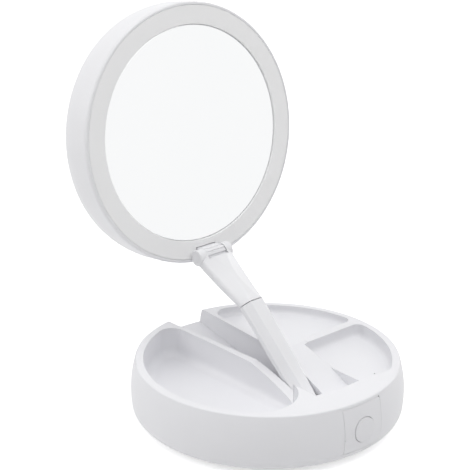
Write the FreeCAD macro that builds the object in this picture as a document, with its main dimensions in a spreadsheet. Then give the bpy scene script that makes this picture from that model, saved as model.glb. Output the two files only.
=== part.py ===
import FreeCAD, Part
import math
import os
import re
import Sketcher

# Folding makeup mirror with a light ring, a tray base and a two-piece arm. Millimetres.
# Origin on the table under the middle of the base, +Z up, the front of the base towards -Y.

Vector = FreeCAD.Vector
Rotation = FreeCAD.Rotation
doc = FreeCAD.newDocument("folding_mirror")

# Driving dimensions
SIZES = {
    # base casing, whose axis stands in front of the middle of the whole
    "base_y": -10.0,
    "foot_height": 2.8,
    "casing_height": 36.2,
    "belly_radius": 85.8,
    "belly_height": 19.2,
    "belly_swell": 2.8,
    "belly_bow": 0.3,
    "rim_width": 5.3,
    "rim_round": 1.2,
    "corner_radius": 8.5,
    "wall": 2.4,
    # trays and the slot for the arm
    "left_tray_depth": 20.0,
    "right_tray_depth": 5.7,
    "front_tray_depth": 8.0,
    "front_tray_x": 29.0,
    "divider_half": 3.1,
    "tray_band": 4.4,
    "slot_root_gap": 0.6,
    "slot_half_front": 10.6,
    "slot_half_back": 14.4,
    "slot_bend_y": 22.0,
    "slot_wall": 2.6,
    "slot_gap": 0.4,
    "slot_floor_start": 9.0,
    "tray_back_round": 9.0,
    "left_front_round": 25.0,
    "left_floor_round": 6.0,
    "divider_round": 5.0,
    "right_front_round": 11.0,
    "right_floor_round": 3.0,
    # dip in the deck where the arm comes out
    "valley_reach": 39.5,
    "valley_middle": 20.0,
    "valley_middle_depth": 5.4,
    "crease_ahead": 4.5,
    "valley_depth": 14.0,
    "crease_reach": 7.0,
    "crease_back_depth": 12.2,
    "crease_front_depth": 9.6,
    "hood_width": 20.0,
    "valley_overlap": 0.8,
    # bottom cover, feet and screws
    "cover_inset": 2.0,
    "cover_thick": 2.2,
    "seat_gap": 0.2,
    "foot_inset": 7.6,
    "foot_angle": 58.0,
    "foot_radius": 7.0,
    "foot_seat": 0.8,
    "foot_round": 0.8,
    "screw_radius": 1.3,
    "screw_head_radius": 2.7,
    "screw_head": 1.2,
    "screw_length": 9.0,
    "screw_gap": 0.05,
    "small_screw_radius": 0.9,
    "small_head_radius": 1.7,
    "small_head": 1.0,
    "small_post_radius": 2.0,
    "thread_room": 1.0,
    "left_screw_inset": 9.6,
    "left_screw_angle": 21.5,
    "right_screw_inset": 4.5,
    "right_screw_angle": 40.0,
    # battery box and door
    "cell_radius": 5.25,
    "cell_length": 44.5,
    "cell_tip": 1.0,
    "cell_tip_radius": 1.9,
    "cell_pitch": 10.9,
    "cell_first_x": 21.0,
    "cell_level": 10.6,
    "cell_gap": 0.25,
    "contact_room": 2.6,
    "contact_thick": 0.4,
    "contact_half": 3.7,
    "contact_rise": 4.2,
    "contact_button_radius": 2.4,
    "box_wall": 1.8,
    "door_thick": 2.0,
    "door_gap": 0.3,
    "door_knuckle": 1.5,
    "door_pin_radius": 0.8,
    # switch panel, button and electronics
    "panel_half": 15.2,
    "panel_gap": 0.1,
    "panel_drop": 2.0,
    "panel_foot": 6.2,
    "panel_inset": 4.0,
    "panel_flange": 1.2,
    "panel_overlap": 1.5,
    "notch_radius": 0.9,
    "button_radius": 8.0,
    "button_level": 21.2,
    "button_gap": 0.25,
    "button_proud": 0.5,
    "button_reach": 3.2,
    "flange_thick": 1.2,
    "flange_extra": 1.5,
    "stem_radius": 2.5,
    "stem_length": 2.8,
    "plunger_radius": 1.7,
    "plunger_length": 4.2,
    "switch_side": 7.0,
    "switch_depth": 4.4,
    "switch_floor": 0.4,
    "board_thick": 1.6,
    "board_half": 18.0,
    "board_bottom": 7.0,
    "board_top": 28.0,
    "board_standoff": 11.4,
    "board_post_x": 13.0,
    "board_post_radius": 2.4,
    "board_thread": 6.0,
    "board_room": 3.0,
    # arm pivot
    "pivot_inset": 43.0,
    "pivot_level": 17.5,
    "pivot_pin_radius": 2.5,
    "running_fit": 0.05,
    "push_fit": 0.02,
    "pin_inset": 0.6,
    "bearing_inner": 8.3,
    "bearing_outer": 13.0,
    "bearing_half": 7.5,
    "bearing_top": 6.8,
    "cap_drop": 6.0,
    "cap_screw_y": 5.2,
    "cap_thread": 6.0,
    "washer_gap": 0.05,
    "washer_radius": 4.8,
    # arm
    "lower_length": 75.2,
    "upper_length": 44.2,
    "elbow_bend": 12.4,
    "arm_rest": 43.0,
    "arm_top": 6.0,
    "arm_bottom": 4.8,
    "stop_gap": 0.3,
    "knuckle_half": 7.5,
    "arm_root_half": 7.3,
    "arm_seam_half": 8.8,
    "band_root_half": 3.05,
    "band_seam_half": 4.7,
    "shoulder": 1.6,
    "seam_gap": 0.5,
    "channel_half": 4.5,
    "channel_top": 3.2,
    "channel_from": 9.0,
    "near_screw": 6.0,
    "far_screw": 16.0,
    "upper_screw_shift": 4.0,
    "arm_thread": 4.0,
    "arm_edge_round": 0.6,
    "upper_edge_round": 2.8,
    "cover_plate": 1.6,
    "plate_gap": 0.1,
    "spindle_radius": 2.3,
    "spindle_bore": 1.3,
    "spindle_below": 19.0,
    "spindle_above": 8.0,
    "bush_length": 15.0,
    "bush_thick": 1.0,
    "bush_flange": 0.3,
    "bush_flange_radius": 4.2,
    "clip_thick": 0.6,
    "clip_radius": 3.0,
    "clip_mouth_half": 1.4,
    "clip_margin": 1.0,
    "groove_depth": 0.5,
    # fork and head hinge
    "fork_half": 13.4,
    "fork_gap_half": 7.8,
    "fork_depth": 5.6,
    "fork_web": 1.5,
    "ear_radius": 5.2,
    "ear_round": 0.8,
    "fork_band_half": 9.0,
    "fork_drop": 3.6,
    "neck_back": 11.0,
    "neck_half": 12.4,
    "neck_band_half": 3.5,
    "neck_under_half": 8.6,
    "hinge_pin_radius": 1.8,
    "hinge_pin_round": 0.3,
    "hinge_washer_radius": 3.3,
    "hinge_cap": 1.0,
    "hinge_cap_radius": 3.0,
    "head_knuckle_half": 7.5,
    "head_knuckle_radius": 5.0,
    "groove_radius": 0.55,
    "hinge_inset": 4.7,
    "hinge_offset": 5.8,
    "rest_gap": 1.0,
    "head_lean": 8.5,
    # head
    "head_radius": 82.4,
    "head_front_draft": 0.9,
    "head_edge": 3.0,
    "head_back_draft": 2.0,
    "head_depth": 24.5,
    "head_wall": 3.0,
    "plate_front": 11.4,
    "plate_thick": 1.8,
    "rim_band": 2.2,
    "ring_width": 11.9,
    "ring_fit": 0.08,
    "ring_thick": 2.8,
    "ring_round": 0.4,
    "mirror_gap": 0.1,
    "mirror_recess": 1.0,
    "mirror_thick": 2.0,
    "mirror_bevel": 0.5,
    "glass_gap": 0.05,
    "carrier_thick": 1.8,
    "led_board_margin": 1.3,
    "led_board_room": 1.8,
    "led_board_thick": 1.6,
    "led_board_height": 1.8,
    "led_board_gap": 15.0,
    "led_thread": 4.0,
    "led_inset": 5.3,
    "led_room": 5.1,
    "led_side": 3.0,
    "led_height": 0.8,
    "rear_margin": 16.8,
    "rear_mirror_sag": 4.1,
    "rear_lip": 1.0,
    "rear_seat_in": 0.6,
    "rear_seat_out": 1.2,
    "bezel_lap": 1.2,
    "bezel_thick": 2.9,
    "bezel_post_radius": 2.5,
    "bracket_half": 13.0,
    "bracket_thick": 2.0,
    "bracket_screw_x": 10.5,
    "bracket_screw_rise": 2.0,
    "web_back": 1.3,
    "web_front": 4.7,
    "notch_gap": 0.5,
}
LED_COUNT = 30
LED_GAP_ANGLE = 26
POST_ANGLES = (-30, 30, 90, 150, 210)
GROOVE_ANGLES = range(20, 149, 32)
SLANT = math.sqrt(0.5)

# Sizes and places that follow from the driving dimensions
FOLLOWING = {
    # base, from its widest radius
    "rim_radius": "belly_radius - belly_swell",
    "bottom_radius": "belly_radius - belly_bow - corner_radius",
    "tray_radius": "rim_radius - rim_width",
    "cover_radius": "bottom_radius - cover_inset",
    "foot_x": "(cover_radius - foot_inset) * cos(foot_angle)",
    "foot_y": "(cover_radius - foot_inset) * sin(foot_angle)",
    "left_screw_x": "(cover_radius - left_screw_inset) * cos(left_screw_angle)",
    "left_screw_y": "(cover_radius - left_screw_inset) * sin(left_screw_angle)",
    "right_screw_x": "(cover_radius - right_screw_inset) * cos(right_screw_angle)",
    "right_screw_y": "(cover_radius - right_screw_inset) * sin(right_screw_angle)",
    # front of the base, from the rim backwards
    "panel_back_y": "panel_inset - rim_radius",
    "button_inner_y": "panel_back_y + button_reach",
    "board_front_y": "panel_back_y + board_standoff",
    "hood_top_y": "hood_width - rim_radius",
    "pivot_y": "pivot_inset - rim_radius",
    "valley_crease_y": "pivot_y - crease_ahead",
    "valley_middle_y": "pivot_y + valley_middle",
    "valley_start_y": "pivot_y + valley_reach",
    "slot_floor_y": "pivot_y + slot_floor_start",
    # arm, along the lower half
    "channel_to": "lower_length - bush_length",
    # head, from its widest radius inwards
    "head_front_radius": "head_radius - head_front_draft",
    "head_back_radius": "head_radius - head_back_draft",
    "ring_radius": "head_radius - rim_band",
    "ring_inner": "ring_radius - ring_width",
    "mirror_radius": "ring_inner - mirror_gap",
    "led_ring_radius": "ring_inner + led_inset",
    "led_board_inner": "ring_inner + led_board_margin",
    "led_board_outer": "head_radius - head_wall - led_board_room",
    "rear_mirror_radius": "head_radius - rear_margin",
    "bezel_inner": "rear_mirror_radius - bezel_lap",
    "hinge_drop": "head_radius - hinge_inset",
}

sheet = doc.addObject("Spreadsheet::Sheet", "sizes")
for row, (alias, value) in enumerate(SIZES.items(), start=1):
    sheet.set(f"A{row}", alias)
    sheet.set(f"B{row}", str(value))
    sheet.setAlias(f"B{row}", alias)
scratch = doc.addObject("Spreadsheet::Sheet", "scratch")
doc.recompute()


def formula(text):
    """Point each size name in a formula at its cell of the sheet, and write out the sizes that follow."""
    def point(word):
        name = word[0]
        if name in FOLLOWING:
            return f"({formula(FOLLOWING[name])})"
        return f"sizes.{name}" if name in SIZES else name
    return re.sub(r"[a-z_]+", point, str(text))


def number(text):
    """The present value of a formula."""
    scratch.set("A1", "=" + formula(text))
    scratch.recompute()
    return float(scratch.get("A1"))


# Heights and places that several pieces share
RIM = "(foot_height + casing_height)"
COVER_TOP = "(foot_height + cover_thick)"
LOW_CEILING = f"({RIM} - left_tray_depth - wall)"
REACH = "sqrt(lower_length ^ 2 + upper_length ^ 2 + 2 * lower_length * upper_length * cos(elbow_bend))"
FOLDED = f"asin(({RIM} + rest_gap - hinge_offset - pivot_level) / {REACH})"
SLOT_BACK = f"(pivot_y + {REACH} * cos({FOLDED}))"
UPPER_REST = "(arm_rest - elbow_bend)"
ELBOW_Y = "(pivot_y + lower_length * cos(arm_rest))"
ELBOW_Z = "(pivot_level + lower_length * sin(arm_rest))"
HINGE_Y = f"({ELBOW_Y} + upper_length * cos({UPPER_REST}))"
HINGE_Z = f"({ELBOW_Z} + upper_length * sin({UPPER_REST}))"
HEAD_TURN = "(90 - head_lean)"
HEAD_Y = f"({HINGE_Y} + hinge_drop * cos({HEAD_TURN}) + hinge_offset * sin({HEAD_TURN}))"
HEAD_Z = f"({HINGE_Z} + hinge_drop * sin({HEAD_TURN}) - hinge_offset * cos({HEAD_TURN}))"
BOX_HALF = "(cell_length / 2 + contact_room)"
BOX_REACH = f"sqrt(cover_radius ^ 2 - ({BOX_HALF} + box_wall) ^ 2)"
CELL_ROOM = f"({BOX_REACH} - box_wall - cell_gap - cell_radius - cell_first_x)"
CELL_COUNT = 1 + math.floor(number(f"{CELL_ROOM} / cell_pitch"))
CELL_LAST_X = f"(cell_first_x + {CELL_COUNT - 1} * cell_pitch)"
BOX_LEFT = "(cell_first_x - cell_radius - cell_gap)"
BOX_RIGHT = f"({CELL_LAST_X} + cell_radius + cell_gap)"
BOX_CEILING = "(cell_level + cell_radius + cell_gap)"
DOOR_AXIS_X = f"({BOX_RIGHT} - door_knuckle - door_gap)"
DOOR_AXIS_Z = "(foot_height + door_knuckle)"
BOARD_POSTS = ("-board_post_x", "board_post_x")
DOOR_PIN_HALF = f"({BOX_HALF} + box_wall - pin_inset)"
PIVOT_HALF = "(bearing_outer - pin_inset)"
SCREW_PLACES = [
    ("-left_screw_x", "left_screw_y", LOW_CEILING),
    ("-left_screw_x", "-left_screw_y", LOW_CEILING),
    ("right_screw_x", "right_screw_y", f"({RIM} - right_tray_depth - wall)"),
    ("right_screw_x", "-right_screw_y", f"({RIM} - front_tray_depth - wall)"),
]
FOOT_PLACES = [(f"{x} * foot_x", f"{y} * foot_y") for x in (-1, 1) for y in (-1, 1)]

# How far cutting tools run past what they cut
OVER = "1"
BELOW = "(foot_height - 5)"
ABOVE = f"({RIM} + 5)"
FAR = "200"

# Planes to draw on: each turn takes the sketch's own axes to the row's
FLAT = Rotation()
UPSIDE_DOWN = Rotation(Vector(1, 0, 0), 180)
SIDE = Rotation(Vector(0, 1, 0), Vector(0, 0, 1), Vector(1, 0, 0), "XYZ")
FRONT = Rotation(Vector(1, 0, 0), Vector(0, 0, 1), Vector(0, -1, 0), "XYZ")
ALONG = {"x": Rotation(Vector(0, 1, 0), 90), "y": Rotation(Vector(1, 0, 0), -90), "z": Rotation()}


def bind(item, prop, text):
    item.setExpression(prop, formula(text))


def put(item, x="0", y="0", z="0"):
    for axis, text in zip("xyz", (x, y, z)):
        bind(item, f"Placement.Base.{axis}", text)
    return item


def turned(item, turn):
    item.Placement = FreeCAD.Placement(Vector(), turn)
    return item


def leaning(item, angle, axis=Vector(1, 0, 0)):
    """Turn an item about the sideways axis by a formula."""
    turned(item, Rotation(axis, 1))
    bind(item, "Placement.Rotation.Angle", angle)
    return item


def cylinder(name, radius, length, at=("0", "0", "0"), along="z"):
    item = turned(doc.addObject("Part::Cylinder", name), ALONG[along])
    bind(item, "Radius", radius)
    bind(item, "Height", length)
    return put(item, *at)


def crossbar(name, radius, half, y="0", z="0"):
    """A cylinder along X, from -half to half."""
    return cylinder(name, radius, f"2 * ({half})", (f"-({half})", y, z), "x")


def sphere(name, radius, z):
    item = doc.addObject("Part::Sphere", name)
    bind(item, "Radius", radius)
    return put(item, z=z)


def block(name, x, y, z):
    """A box between two places on each axis."""
    item = doc.addObject("Part::Box", name)
    for prop, (low, high) in zip(("Length", "Width", "Height"), (x, y, z)):
        bind(item, prop, f"({high}) - ({low})")
    return put(item, x[0], y[0], z[0])


def hold(sketch, geometry, point, spot):
    """Tie a point of a sketch to a pair of formulas."""
    for kind, axis, text in (("DistanceX", -2, spot[0]), ("DistanceY", -1, spot[1])):
        value = number(text)
        if str(text) == "0":
            sketch.addConstraint(Sketcher.Constraint("PointOnObject", geometry, point, axis))
        elif value < 0:
            index = sketch.addConstraint(Sketcher.Constraint(kind, geometry, point, -1, 1, -value))
            sketch.setExpression(f"Constraints[{index}]", formula(f"-({text})"))
        else:
            index = sketch.addConstraint(Sketcher.Constraint(kind, -1, 1, geometry, point, value))
            sketch.setExpression(f"Constraints[{index}]", formula(text))


def outline(name, corners, turn=FLAT):
    """A closed sketch. A corner is a pair of formulas; a third entry is a pair that an arc passes through."""
    sketch = turned(doc.addObject("Sketcher::SketchObject", name), turn)
    spots = [Vector(number(corner[0]), number(corner[1]), 0) for corner in corners]
    ends = []
    for start, finish, corner in zip(spots, spots[1:] + spots[:1], corners):
        if len(corner) == 3:
            middle = Vector(number(corner[2][0]), number(corner[2][1]), 0)
            piece = sketch.addGeometry(Part.Arc(start, middle, finish))
        else:
            piece = sketch.addGeometry(Part.LineSegment(start, finish))
        forward = sketch.getPoint(piece, 1).distanceToPoint(start) < 1e-6
        ends.append((piece, 1, 2) if forward else (piece, 2, 1))
    for (piece, _, last), (after, after_first, _) in zip(ends, ends[1:] + ends[:1]):
        sketch.addConstraint(Sketcher.Constraint("Coincident", piece, last, after, after_first))
    for (piece, first, _), corner in zip(ends, corners):
        hold(sketch, piece, first, corner)
        if len(corner) == 3:
            middle = Vector(number(corner[2][0]), number(corner[2][1]), 0)
            spot = sketch.addGeometry(Part.Point(middle), True)
            sketch.addConstraint(Sketcher.Constraint("PointOnObject", spot, 1, piece))
            hold(sketch, spot, 1, corner[2])
    return sketch


def prism(name, corners, low, high):
    """A plan outline raised from one level to another."""
    item = doc.addObject("Part::Extrusion", name)
    item.Base = put(outline(name + "_plan", corners), z=low)
    item.DirMode = "Normal"
    item.Solid = True
    bind(item, "LengthFwd", f"({high}) - ({low})")
    return item


def slab(name, corners, half):
    """A side outline, in Y and Z, widened to both sides of the middle plane."""
    item = doc.addObject("Part::Extrusion", name)
    item.Base = outline(name + "_side", corners, SIDE)
    item.DirMode = "Normal"
    item.Solid = True
    item.Symmetric = True
    bind(item, "LengthFwd", f"2 * ({half})")
    return item


def lathe(name, corners):
    """A half section, in radius and height, turned about the Z axis."""
    item = doc.addObject("Part::Revolution", name)
    item.Source = outline(name + "_section", corners, FRONT)
    item.Axis = Vector(0, 0, 1)
    item.Angle = 360
    item.Solid = True
    return item


def fuse(name, *items):
    item = doc.addObject("Part::MultiFuse", name)
    item.Shapes = list(items)
    item.Refine = True
    return item


def common(name, *items):
    item = doc.addObject("Part::MultiCommon", name)
    item.Shapes = list(items)
    return item


def cut(name, base, *tools):
    for index, tool in enumerate(tools):
        item = doc.addObject("Part::Cut", name if tool is tools[-1] else f"{name}_step{index}")
        item.Base = base
        item.Tool = tool
        base = item
    return base


def group(name, *items):
    item = doc.addObject("Part::Compound", name)
    item.Links = list(items)
    return item


def mirrored(item):
    """The same piece on the other side of the middle plane."""
    other = doc.addObject("Part::Mirroring", item.Name + "_mirrored")
    other.Source = item
    other.Normal = Vector(1, 0, 0)
    return other


def rounded(name, item, radius, chosen):
    """Round the chosen edges of an item."""
    doc.recompute()
    edges = [index for index, edge in enumerate(item.Shape.Edges, start=1) if chosen(edge)]
    smooth = doc.addObject("Part::Fillet", name)
    smooth.Base = item
    size = number(radius)
    smooth.Edges = [(index, size, size) for index in edges]
    return smooth


def upright(edge):
    box = edge.BoundBox
    return box.ZLength > 1 and box.XLength + box.YLength < 0.01


def behind(y):
    """A test for upright edges further back than a place."""
    limit = number(y)
    return lambda edge: upright(edge) and edge.BoundBox.YMin > limit


def ahead_of(y):
    """A test for upright edges further forward than a place."""
    limit = number(y)
    return lambda edge: upright(edge) and edge.BoundBox.YMin < limit


def beyond(x):
    """A test for upright edges further right than a place."""
    limit = number(x)
    return lambda edge: upright(edge) and edge.BoundBox.XMin > limit


def lengthwise(edge):
    return edge.BoundBox.YLength > 10


def crosswise(edge):
    return edge.BoundBox.XLength < 0.01


def at_level(z):
    level = number(z)
    return lambda edge: abs(edge.BoundBox.ZMin - level) + abs(edge.BoundBox.ZMax - level) < 0.01


def screw(name, at, turn=FLAT, radius="screw_radius", head_radius="screw_head_radius", head="screw_head",
          length="screw_length"):
    """A screw whose head lies on the XY plane and whose shank points up, turned and moved into place."""
    pan = cylinder(name + "_head", head_radius, head)
    shank = cylinder(name + "_shank", radius, f"{head} + {length}")
    return put(turned(fuse(name, pan, shank), turn), *at)


def small_screw(name, at, turn, length):
    return screw(name, at, turn, "small_screw_radius", "small_head_radius", "small_head", length)


# Bodies and where they stand
nodes = []


def node(item, label):
    item.Label = label
    nodes.append(item)
    return item


def on_base(item, label):
    """Place a piece drawn about the base's own axis."""
    return node(put(item, y="base_y"), label)


def on_arm(item, label):
    """Place a piece drawn with the pivot at the origin and the lower arm along +Y."""
    leaning(item, "arm_rest")
    return node(put(item, "0", "base_y + pivot_y", "pivot_level"), label)


def on_upper(item, label):
    """Place a piece drawn with the elbow at the origin and the upper arm along +Y."""
    leaning(item, UPPER_REST)
    return node(put(item, "0", f"base_y + {ELBOW_Y}", ELBOW_Z), label)


def on_head(item, label):
    """Place a piece drawn with the middle of the head's face at the origin and the face towards +Z."""
    leaning(item, HEAD_TURN)
    return node(put(item, "0", f"base_y + {HEAD_Y}", HEAD_Z), label)


# Tray casing
def slot_floor(y):
    """Height of the slot's floor, which runs along under the folded arm."""
    return f"(pivot_level + ({y} - pivot_y) * tan({FOLDED}) - (ear_radius + slot_gap) / cos({FOLDED}))"


def stop_line(z):
    """Y of the sloping face that the raised arm stops against, at a height."""
    return f"(pivot_y + ({z} - pivot_level - (arm_top + stop_gap) / cos(arm_rest)) / tan(arm_rest))"


def corner_arc(radius, low):
    """The round from the flat bottom into the wall, with its middle point."""
    middle = (f"bottom_radius + ({radius}) * {SLANT}", f"{low} + ({radius}) * (1 - {SLANT})")
    return ("bottom_radius", low, middle)


def casing_outside(name):
    """The whole outside of the base, as a solid."""
    return lathe(name, [
        ("0", "foot_height"),
        corner_arc("corner_radius", "foot_height"),
        ("bottom_radius + corner_radius", "foot_height + corner_radius",
         ("belly_radius", "foot_height + belly_height")),
        ("rim_radius", f"{RIM} - rim_round",
         (f"rim_radius - rim_round * (1 - {SLANT})", f"{RIM} - rim_round * (1 - {SLANT})")),
        ("rim_radius - rim_round", RIM),
        ("0", RIM),
    ])


def slot_plan(name, extra):
    """The slot seen from above, widening with the arm from its knuckle, and wider by extra on each side."""
    root = f"(knuckle_half + slot_root_gap + {extra})"
    near = f"(slot_half_front + {extra})"
    far = f"(slot_half_back + {extra})"
    right = [(root, f"-{FAR}"), (root, "slot_floor_y"), (near, "slot_bend_y"), (far, SLOT_BACK), (far, FAR)]
    left = [(f"-{x}", y) for x, y in reversed(right)]
    return prism(name, right + left, BELOW, FAR)


def slot_side(name, drop, front):
    """The slot seen from the side, with its floor lowered by drop."""
    return slab(name, [
        (front, f"{slot_floor(front)} - {drop}"),
        (FAR, f"{slot_floor(FAR)} - {drop}"),
        (FAR, FAR),
        (front, FAR),
    ], FAR)


def tray_hollow(name, corners, depth, rounds, floor_round):
    """A tray: a plan outline inside the rim, rounded at the chosen corners and along the floor."""
    floor = f"({RIM} - {depth})"
    plan = prism(name + "_area", corners, floor, ABOVE)
    disc = cylinder(name + "_disc", "tray_radius", f"{ABOVE} - {floor}", ("0", "0", floor))
    shaped = common(name + "_sharp", plan, disc)
    for radius, chosen in rounds:
        shaped = rounded(name + "_corners", shaped, radius, chosen)
    return rounded(name, shaped, floor_round, at_level(floor))


def tray_casing():
    outside = casing_outside("casing_outside")
    inside = lathe("casing_inside", [
        ("0", BELOW),
        ("cover_radius + seat_gap", BELOW),
        ("cover_radius + seat_gap", COVER_TOP),
        corner_arc("corner_radius - wall", "(foot_height + wall)"),
        ("bottom_radius + corner_radius - wall", "foot_height + corner_radius"),
        ("rim_radius - wall", f"{RIM} - wall"),
        ("0", f"{RIM} - wall"),
    ])
    tray_edge = "(slot_half_front + slot_wall)"
    crease = f"({RIM} - valley_depth)"

    # the hollow under the deck, in rooms below the trays and below the hood
    trough = common("slot_trough", slot_plan("trough_plan", "slot_wall"),
                    slot_side("trough_side", "wall", "slot_floor_y"))
    low_room = block("low_room", (f"-{FAR}", FAR), (f"-{FAR}", FAR), (BELOW, LOW_CEILING))
    near_room = block("near_room", (tray_edge, "front_tray_x + wall"), (f"-{FAR}", FAR),
                      (BELOW, f"{crease} - wall"))
    right_side = ("front_tray_x + wall", FAR)
    rear_right_room = block("rear_right_room", right_side, ("wall - divider_half", FAR),
                            (BELOW, f"{RIM} - right_tray_depth - wall"))
    front_right_room = block("front_right_room", right_side, (f"-{FAR}", "wall - divider_half"),
                             (BELOW, f"{RIM} - front_tray_depth - wall"))
    front_room = block("front_room", ("-(board_half + board_room)", "board_half + board_room"),
                       (f"-{FAR}", "hood_top_y + board_room"), (BELOW, f"{RIM} - 2 * wall"))
    hood_room = slab("hood_room", [
        (f"-{FAR}", BELOW),
        ("slot_floor_y", BELOW),
        ("slot_floor_y", f"{crease} - wall"),
        ("valley_crease_y", f"{crease} - wall"),
        ("valley_crease_y - crease_reach", f"{RIM} - crease_front_depth - wall"),
        ("hood_top_y", f"{RIM} - wall"),
        (f"-{FAR}", f"{RIM} - wall"),
    ], "slot_half_front")
    cap_room = block("cap_room", ("-(bearing_outer + seat_gap)", "bearing_outer + seat_gap"),
                     ("pivot_y - bearing_half - seat_gap", "pivot_y + bearing_half + seat_gap"),
                     (BELOW, "pivot_level"))
    rooms = fuse("rooms", low_room, near_room, rear_right_room, front_right_room, front_room, hood_room,
                 cap_room)
    hollow = common("casing_hollow", inside, cut("rooms_beside_slot", rooms, trough))

    # posts for the cover screws and the pivot's bearings
    posts = []
    for x, y, top in SCREW_PLACES:
        posts.append(cylinder("cover_post", "screw_radius + wall", f"{top} - {COVER_TOP}", (x, y, COVER_TOP)))
    bearing = block("bearing", ("bearing_inner", "bearing_outer"),
                    ("pivot_y - bearing_half", "pivot_y + bearing_half"),
                    ("pivot_level", "pivot_level + bearing_top"))
    posts += [bearing, mirrored(bearing)]

    # trays, slot and valley
    left_half = "(slot_half_front + tray_band)"
    left_edge = f"(-{left_half})"
    front_round = f"min(left_front_round; (tray_radius - {left_half}) / 2 - wall)"
    left_tray = tray_hollow("left_tray", [
        (left_edge, f"-{FAR}"),
        (left_edge, "slot_bend_y"),
        ("-(slot_half_back + slot_wall)", SLOT_BACK),
        ("-(slot_half_back + slot_wall)", FAR),
        (f"-{FAR}", FAR),
        (f"-{FAR}", f"-{FAR}"),
    ], "left_tray_depth", [("tray_back_round", behind("slot_bend_y + 1")),
                           (front_round, ahead_of("slot_bend_y - 1"))], "left_floor_round")
    rear_tray = tray_hollow("rear_tray", [
        (tray_edge, "divider_half"),
        (tray_edge, "slot_bend_y"),
        ("slot_half_back + slot_wall", SLOT_BACK),
        ("slot_half_back + slot_wall", FAR),
        (FAR, FAR),
        (FAR, "divider_half"),
    ], "right_tray_depth", [("tray_back_round", behind("slot_bend_y + 1")),
                            ("divider_round", ahead_of("slot_bend_y - 1"))], "right_floor_round")
    front_tray = tray_hollow("front_tray", [
        ("front_tray_x - seat_gap", "-divider_half"),
        ("front_tray_x - seat_gap", f"-{FAR}"),
        (FAR, f"-{FAR}"),
        (FAR, "-divider_half"),
    ], "front_tray_depth", [("divider_round", beyond("front_tray_x + divider_round")),
                            ("right_front_round", ahead_of("-2 * divider_half"))], "right_floor_round")
    slot = common("slot", slot_plan("slot_area", "0"), slab("slot_room", [
        ("slot_floor_y", slot_floor("slot_floor_y")),
        (FAR, slot_floor(FAR)),
        (FAR, FAR),
        (stop_line(FAR), FAR),
        (stop_line("(pivot_level + wall)"), "pivot_level + wall"),
        ("slot_floor_y", "pivot_level + wall"),
    ], FAR))
    valley_area = slab("valley_area", [
        ("valley_start_y", RIM, ("valley_middle_y", f"{RIM} - valley_middle_depth")),
        ("valley_crease_y + crease_reach", f"{RIM} - crease_back_depth", ("valley_crease_y", crease)),
        ("valley_crease_y - crease_reach", f"{RIM} - crease_front_depth"),
        ("hood_top_y", RIM),
        ("hood_top_y", ABOVE),
        ("valley_start_y", ABOVE),
    ], FAR)
    valley_width = block("valley_width", (f"{left_edge} - valley_overlap", "front_tray_x"), (f"-{FAR}", FAR),
                         (BELOW, FAR))
    valley = common("valley", valley_area, valley_width)
    lip_area = block("lip_area", ("front_tray_x - seat_gap", "front_tray_x + right_floor_round"),
                     (f"-{FAR}", FAR), (f"{RIM} - front_tray_depth", FAR))
    tray_lip = common("tray_lip", valley_area, lip_area)

    # holes
    holes = [panel_area("panel_opening", "panel_gap")]
    for x, y, _ in SCREW_PLACES:
        holes.append(cylinder("cover_screw_hole", "screw_radius + screw_gap", "screw_length",
                              (x, y, COVER_TOP)))
    for side in (-1, 1):
        for end in (-1, 1):
            holes.append(cylinder("cap_screw_hole", "small_screw_radius + screw_gap", "cap_thread",
                                  (f"{side} * (bearing_inner + bearing_outer) / 2",
                                   f"pivot_y + {end} * cap_screw_y", "pivot_level")))
    holes.append(crossbar("pivot_groove", "pivot_pin_radius + running_fit", f"{PIVOT_HALF} + seat_gap",
                          "pivot_y", "pivot_level"))

    cup = fuse("casing_cup", cut("casing_shell", outside, hollow), *posts)
    hollows = [left_tray, rear_tray, front_tray, slot, valley, tray_lip]
    on_base(cut("tray_casing", cup, *hollows, *holes), "tray_casing")


# Bottom cover, feet and their screws
def bottom_cover():
    plate = cylinder("cover_disc", "cover_radius", "cover_thick", ("0", "0", "foot_height"))
    box = block("battery_box", (f"{BOX_LEFT} - box_wall", f"{BOX_RIGHT} + box_wall"),
                (f"-({BOX_HALF} + box_wall)", f"{BOX_HALF} + box_wall"),
                ("foot_height", f"{BOX_CEILING} + box_wall"))
    room = block("battery_room", (BOX_LEFT, BOX_RIGHT), (f"-{BOX_HALF}", BOX_HALF), (BELOW, BOX_CEILING))
    pin_hole = cylinder("door_pin_hole", "door_pin_radius + running_fit", f"2 * ({DOOR_PIN_HALF} + seat_gap)",
                        (DOOR_AXIS_X, f"-({DOOR_PIN_HALF} + seat_gap)", DOOR_AXIS_Z), "y")
    tools = [room, pin_hole]
    for x, y, _ in SCREW_PLACES:
        spot = (x, y, "foot_height")
        tools.append(cylinder("cover_hole", "screw_radius + 2 * screw_gap", "cover_thick", spot))
        tools.append(cylinder("head_recess", "screw_head_radius + seat_gap", "screw_head", spot))
    for x, y in FOOT_PLACES:
        spot = (x, y, "foot_height")
        tools.append(cylinder("foot_recess", "foot_radius + screw_gap", "foot_seat", spot))
    on_base(cut("bottom_cover", fuse("cover_plate_and_box", plate, box), *tools), "bottom_cover")


def rubber_feet():
    feet = []
    for x, y in FOOT_PLACES:
        disc = cylinder("foot_disc", "foot_radius", "foot_height + foot_seat", (x, y, "0"))
        feet.append(rounded("foot", disc, "foot_round", at_level("0")))
    on_base(group("rubber_feet", *feet), "rubber_feet")


def cover_screws():
    screws = [screw("cover_screw", (x, y, "foot_height")) for x, y, _ in SCREW_PLACES]
    on_base(group("cover_screws", *screws), "cover_screws")


# Battery cells, contacts and door
def cell_x(index):
    return f"(cell_first_x + {index} * cell_pitch)"


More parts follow.
